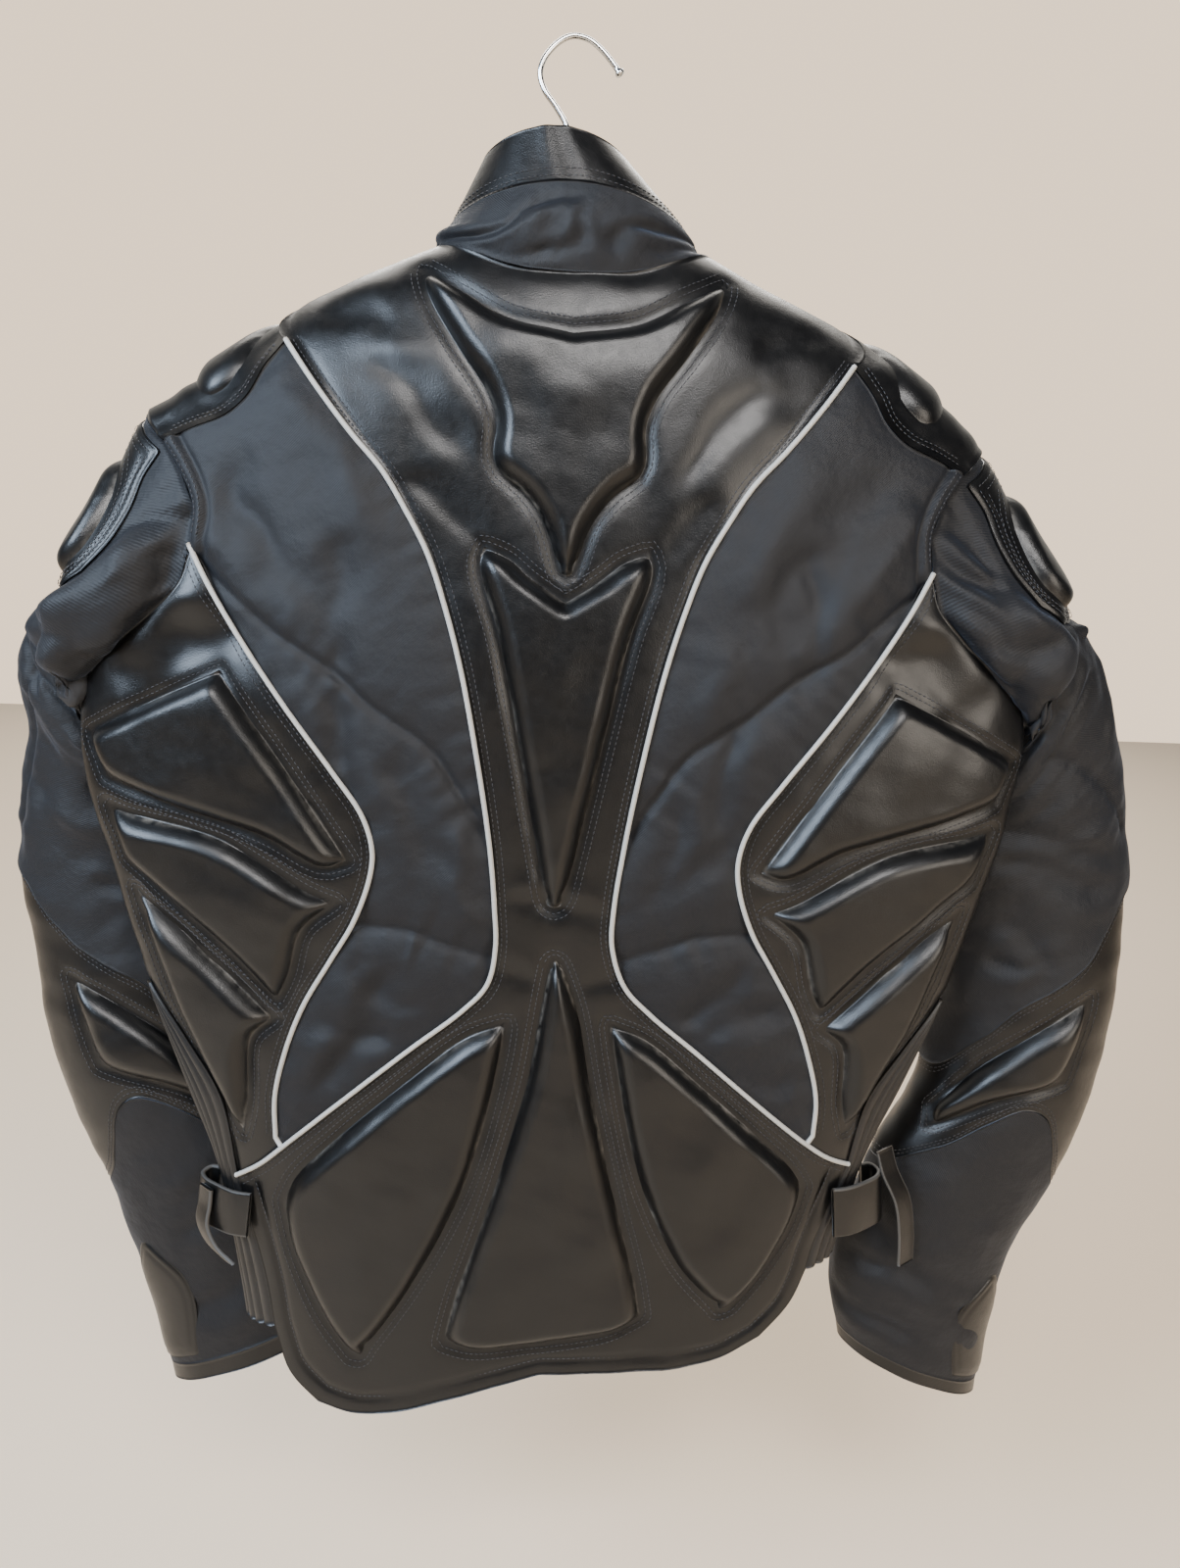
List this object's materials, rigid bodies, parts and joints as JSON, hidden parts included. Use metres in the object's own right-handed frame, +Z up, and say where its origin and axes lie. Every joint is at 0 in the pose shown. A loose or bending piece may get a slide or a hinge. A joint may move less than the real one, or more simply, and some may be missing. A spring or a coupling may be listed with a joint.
{
  "type": "motorcycle jacket",
  "caption": "Leather and textile motorcycle jacket with raised back pads, zipped up and hanging on a hanger with a wire hook.",
  "frame": {"origin": "the point where the underside of the hanger's hook bears on its peg", "axes": "+Z up, -Y out of the jacket's back and +Y out of its front, +X towards the wearer's right side"},
  "size_m": [0.7844, 0.153, 0.9251],
  "materials": {
    "leather": "smooth black cowhide with a fine grain, semi-gloss",
    "textile": "black nylon twill with a slight sheen",
    "piping": "off-white reflective piping, matte",
    "zip_metal": "black coated metal zip",
    "chrome": "bright chrome wire",
    "hanger_plastic": "plain black plastic"
  },
  "bodies": {
    "jacket": {"back_centre": "leather", "shoulder_patch_right": "leather", "back_textile_right": "textile", "side_leather_right": "leather", "rib_strip_right": "leather", "front_right": "leather", "shoulder_patch_left": "leather", "back_textile_left": "textile", "side_leather_left": "leather", "rib_strip_left": "leather", "front_left": "leather", "sleeve_upper_right": "textile", "sleeve_elbow_right": "leather", "sleeve_forearm_right": "textile", "cuff_band_right": "leather", "sleeve_upper_left": "textile", "sleeve_elbow_left": "leather", "sleeve_forearm_left": "textile", "cuff_band_left": "leather", "collar_stand": "textile", "collar_band": "leather", "piping_long_right": "piping", "piping_short_right": "piping", "piping_long_left": "piping", "piping_short_left": "piping", "pad_upper": "leather", "pad_middle": "leather", "pad_tail": "leather", "pad_waist_right": "leather", "pad_waist_left": "leather", "pad_side_upper_right": "leather", "pad_side_upper_left": "leather", "pad_side_middle_right": "leather", "pad_side_middle_left": "leather", "pad_side_lower_right": "leather", "pad_side_lower_left": "leather", "pad_shoulder_right": "leather", "pad_shoulder_left": "leather", "sleeve_cap_right": "leather", "cuff_gusset_right": "leather", "pad_elbow_right": "leather", "pad_cap_right": "leather", "sleeve_cap_left": "leather", "cuff_gusset_left": "leather", "pad_elbow_left": "leather", "pad_cap_left": "leather", "waist_tab_right": "leather", "waist_tab_left": "leather", "hanging_strap_right": "leather", "curled_strap_left": "leather", "zip": "zip_metal", "zip_slider": "zip_metal", "hanger_hook": "chrome", "hanger_arms": "hanger_plastic"},
    "zip_pull": {"zip_pull": "zip_metal"}
  },
  "joints": [
    {"name": "zip_pull_hinge", "type": "hinge", "parent": "jacket", "child": "zip_pull", "pos_m": [0.004, 0.06411, -0.186], "axis": [1, 0, 0], "range_deg": [0, 170]}
  ]
}
